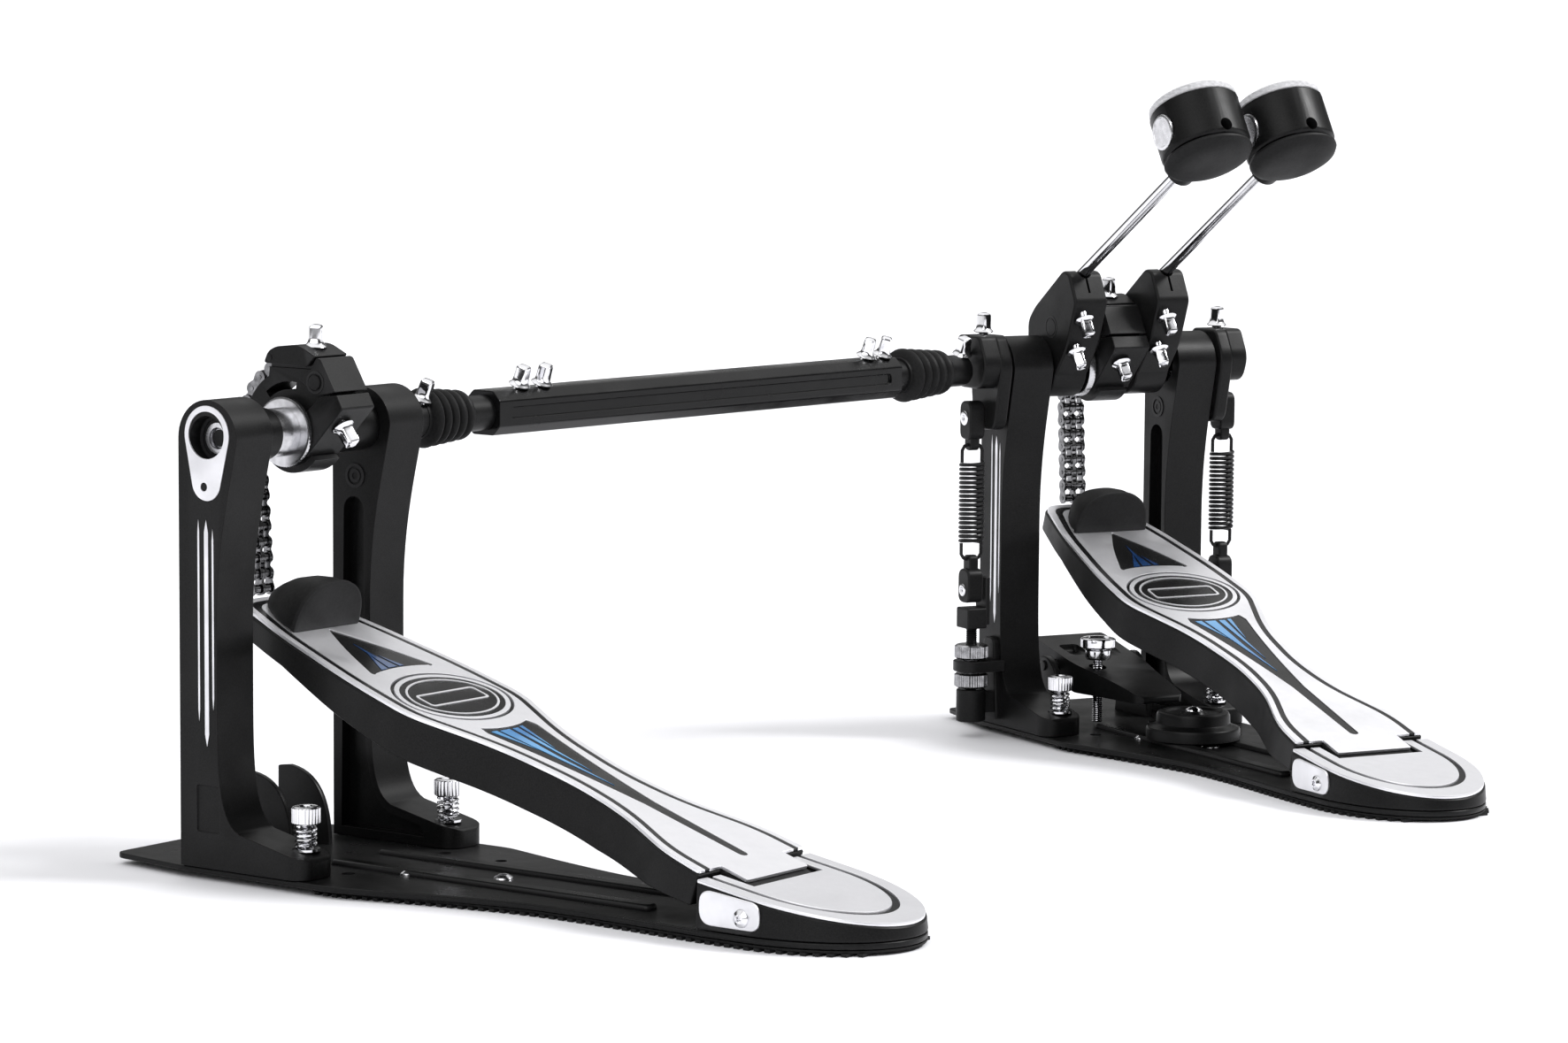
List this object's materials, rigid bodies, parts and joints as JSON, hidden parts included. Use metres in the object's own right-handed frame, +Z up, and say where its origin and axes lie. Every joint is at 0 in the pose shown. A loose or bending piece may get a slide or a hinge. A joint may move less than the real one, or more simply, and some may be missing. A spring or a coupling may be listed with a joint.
{
  "type": "bass drum pedal",
  "caption": "Twin bass drum pedal with two beaters, chain drive, a slave pedal and a telescoping universal-joint drive shaft.",
  "frame": {"origin": "on the floor, directly under the middle of the main pedal's axle", "axes": "+X runs along the main axle away from the slave pedal, +Y points from the player to the drum, +Z is up"},
  "size_m": [0.7689, 0.6196, 0.385],
  "materials": {
    "cast_black": "satin",
    "plate_black": "satin",
    "silver": "satin",
    "chrome": "polished",
    "steel": "brushed",
    "rubber": "matte",
    "plastic": "satin"
  },
  "bodies": {
    "main_frame": {"main_baseplate": "plate_black", "main_floor_mat": "rubber", "main_rear_pad": "rubber", "main_left_post": "cast_black", "main_right_post": "cast_black", "main_left_bearing": "steel", "main_right_bearing": "steel", "main_heel_block": "cast_black", "main_hinge_pin": "chrome", "clamp_disc": "plastic"},
    "main_board": {"main_footboard": "cast_black", "main_tread": "silver", "main_toe_stop": "rubber"},
    "main_chain_run": {"main_chain": "steel"},
    "main_axle": {"main_shaft": "steel", "main_cam": "cast_black", "right_beater_hub": "cast_black", "right_crank": "cast_black"},
    "right_beater": {"right_beater_rod": "chrome", "right_beater_head": "plastic"},
    "left_axle": {"left_crank": "cast_black", "left_beater_hub": "cast_black"},
    "left_beater": {"left_beater_rod": "chrome", "left_beater_head": "plastic"},
    "clamp_lever": {"clamp_rocker": "cast_black"},
    "clamp_screw": {"clamp_knob": "chrome"},
    "drive_outer": {"drive_tube": "cast_black", "main_boot": "rubber"},
    "drive_inner": {"drive_rod": "steel", "slave_boot": "rubber"},
    "slave_frame": {"slave_baseplate": "plate_black", "slave_floor_mat": "rubber", "slave_rear_pad": "rubber", "slave_left_post": "cast_black", "slave_right_post": "cast_black", "slave_left_bearing": "steel", "slave_right_bearing": "steel", "slave_heel_block": "cast_black", "slave_hinge_pin": "chrome"},
    "slave_board": {"slave_footboard": "cast_black", "slave_tread": "silver", "slave_toe_stop": "rubber"},
    "slave_chain_run": {"slave_chain": "steel"},
    "slave_axle": {"slave_shaft": "steel", "slave_cam": "cast_black", "slave_yoke": "cast_black"},
    "left_tension": {"left_tension_rod": "cast_black"},
    "left_spring_swing": {"left_lower_clevis": "cast_black", "left_spring": "steel"},
    "left_spring_top": {"left_spring_clevis": "cast_black"},
    "left_nut": {"left_tension_nut": "steel"},
    "right_tension": {"right_tension_rod": "cast_black"},
    "right_spring_swing": {"right_lower_clevis": "cast_black", "right_spring": "steel"},
    "right_spring_top": {"right_spring_clevis": "cast_black"},
    "right_nut": {"right_tension_nut": "steel"},
    "main_left_spur_body": {"main_left_spur": "chrome"},
    "main_right_spur_body": {"main_right_spur": "chrome"},
    "slave_left_spur_body": {"slave_left_spur": "chrome"},
    "slave_right_spur_body": {"slave_right_spur": "chrome"}
  },
  "joints": [
    {"name": "main_pedal_press", "type": "hinge", "parent": "main_frame", "child": "main_board", "pos_m": [0, -0.3026, 0.0142], "axis": [-1, 0, 0], "range_deg": [0, 6], "stiffness_Nm_per_rad": 20, "springref_deg": -10.03},
    {"name": "main_chain_hang", "type": "hinge", "parent": "main_board", "child": "main_chain_run", "pos_m": [0, 0.033, 0.124], "axis": [1, 0, 0], "range_deg": [0, 12]},
    {"name": "main_cam_turn", "type": "hinge", "parent": "main_frame", "child": "main_axle", "pos_m": [0, 0, 0.215], "axis": [-1, 0, 0], "range_deg": [0, 66]},
    {"name": "left_axle_turn", "type": "hinge", "parent": "main_frame", "child": "left_axle", "pos_m": [0, 0, 0.215], "axis": [-1, 0, 0], "range_deg": [0, 66]},
    {"name": "right_beater_height", "type": "slide", "parent": "main_axle", "child": "right_beater", "axis": [0, -0.8572, 0.515], "range_m": [-0.012, 0.01]},
    {"name": "left_beater_height", "type": "slide", "parent": "left_axle", "child": "left_beater", "axis": [0, -0.8572, 0.515], "range_m": [-0.012, 0.01]},
    {"name": "left_tension_adjust", "type": "slide", "parent": "main_frame", "child": "left_tension", "axis": [0, 0, 1], "range_m": [-0.004, 0.004]},
    {"name": "left_spring_tilt", "type": "hinge", "parent": "left_tension", "child": "left_spring_swing", "pos_m": [-0.086, 0, 0.0865], "axis": [1, 0, 0], "range_deg": [0, 12.5]},
    {"name": "left_spring_stretch", "type": "slide", "parent": "left_spring_swing", "child": "left_spring_top", "axis": [0, 0, 1], "range_m": [0, 0.0195], "deforming": ["left_spring"]},
    {"name": "left_nut_turn", "type": "hinge", "parent": "main_frame", "child": "left_nut", "pos_m": [-0.085, 0, 0.04], "axis": [0, 0, 1], "continuous": true},
    {"name": "right_tension_adjust", "type": "slide", "parent": "main_frame", "child": "right_tension", "axis": [0, 0, 1], "range_m": [-0.004, 0.004]},
    {"name": "right_spring_tilt", "type": "hinge", "parent": "right_tension", "child": "right_spring_swing", "pos_m": [0.086, 0, 0.0865], "axis": [1, 0, 0], "range_deg": [0, 12.5]},
    {"name": "right_spring_stretch", "type": "slide", "parent": "right_spring_swing", "child": "right_spring_top", "axis": [0, 0, 1], "range_m": [0, 0.0195], "deforming": ["right_spring"]},
    {"name": "right_nut_turn", "type": "hinge", "parent": "main_frame", "child": "right_nut", "pos_m": [0.085, 0, 0.04], "axis": [0, 0, 1], "continuous": true},
    {"name": "clamp_knob_turn", "type": "hinge", "parent": "main_frame", "child": "clamp_screw", "pos_m": [-0.012, -0.022, 0.04], "axis": [0, 0, 1], "range_deg": [-360, 360]},
    {"name": "clamp_lever_tilt", "type": "hinge", "parent": "main_frame", "child": "clamp_lever", "pos_m": [0, 0.006, 0.038], "axis": [1, 0, 0], "range_deg": [-5, 5]},
    {"name": "slave_reach", "type": "slide", "parent": "main_frame", "child": "slave_frame", "axis": [-0.9198, -0.3923, 0], "range_m": [-0.003, 0.06]},
    {"name": "slave_pedal_press", "type": "hinge", "parent": "slave_frame", "child": "slave_board", "pos_m": [-0.45409, -0.48881, 0.0142], "axis": [-0.8946, -0.4468, 0], "range_deg": [0, 6], "stiffness_Nm_per_rad": 20, "springref_deg": -10.03},
    {"name": "slave_chain_hang", "type": "hinge", "parent": "slave_board", "child": "slave_chain_run", "pos_m": [-0.60405, -0.18858, 0.124], "axis": [0.8946, 0.4468, 0], "range_deg": [0, 12]},
    {"name": "slave_cam_turn", "type": "hinge", "parent": "slave_frame", "child": "slave_axle", "pos_m": [-0.5893, -0.2181, 0.215], "axis": [-0.8946, -0.4468, 0], "range_deg": [0, 66]},
    {"name": "drive_inner_turn", "type": "hinge", "parent": "slave_frame", "child": "drive_inner", "pos_m": [-0.50699, -0.17699, 0.215], "axis": [-0.9198, -0.3923, 0], "range_deg": [0, 66]},
    {"name": "drive_outer_turn", "type": "hinge", "parent": "main_frame", "child": "drive_outer", "pos_m": [-0.092, 0, 0.215], "axis": [-0.9198, -0.3923, 0], "range_deg": [0, 66]},
    {"name": "main_left_spur_drive", "type": "slide", "parent": "main_frame", "child": "main_left_spur_body", "axis": [0, 0, -1], "range_m": [-0.004, 0.008]},
    {"name": "main_right_spur_drive", "type": "slide", "parent": "main_frame", "child": "main_right_spur_body", "axis": [0, 0, -1], "range_m": [-0.004, 0.008]},
    {"name": "slave_left_spur_drive", "type": "slide", "parent": "slave_frame", "child": "slave_left_spur_body", "axis": [0, 0, -1], "range_m": [-0.004, 0.008]},
    {"name": "slave_right_spur_drive", "type": "slide", "parent": "slave_frame", "child": "slave_right_spur_body", "axis": [0, 0, -1], "range_m": [-0.004, 0.008]}
  ],
  "couplings": [
    {"joint": "main_chain_hang", "follows": "main_pedal_press", "ratio": 1.95},
    {"joint": "main_cam_turn", "follows": "main_pedal_press", "ratio": 10.9},
    {"joint": "left_axle_turn", "follows": "slave_pedal_press", "ratio": 10.9},
    {"joint": "left_spring_tilt", "follows": "slave_pedal_press", "ratio": 2.05},
    {"joint": "left_spring_stretch", "follows": "slave_pedal_press", "m_per_rad": 0.183},
    {"joint": "right_spring_tilt", "follows": "main_pedal_press", "ratio": 2.05},
    {"joint": "right_spring_stretch", "follows": "main_pedal_press", "m_per_rad": 0.183},
    {"joint": "clamp_lever_tilt", "follows": "clamp_knob_turn", "ratio": 0.0138},
    {"joint": "slave_chain_hang", "follows": "slave_pedal_press", "ratio": 1.95},
    {"joint": "slave_cam_turn", "follows": "slave_pedal_press", "ratio": 10.9},
    {"joint": "drive_inner_turn", "follows": "slave_pedal_press", "ratio": 10.9},
    {"joint": "drive_outer_turn", "follows": "slave_pedal_press", "ratio": 10.9}
  ]
}
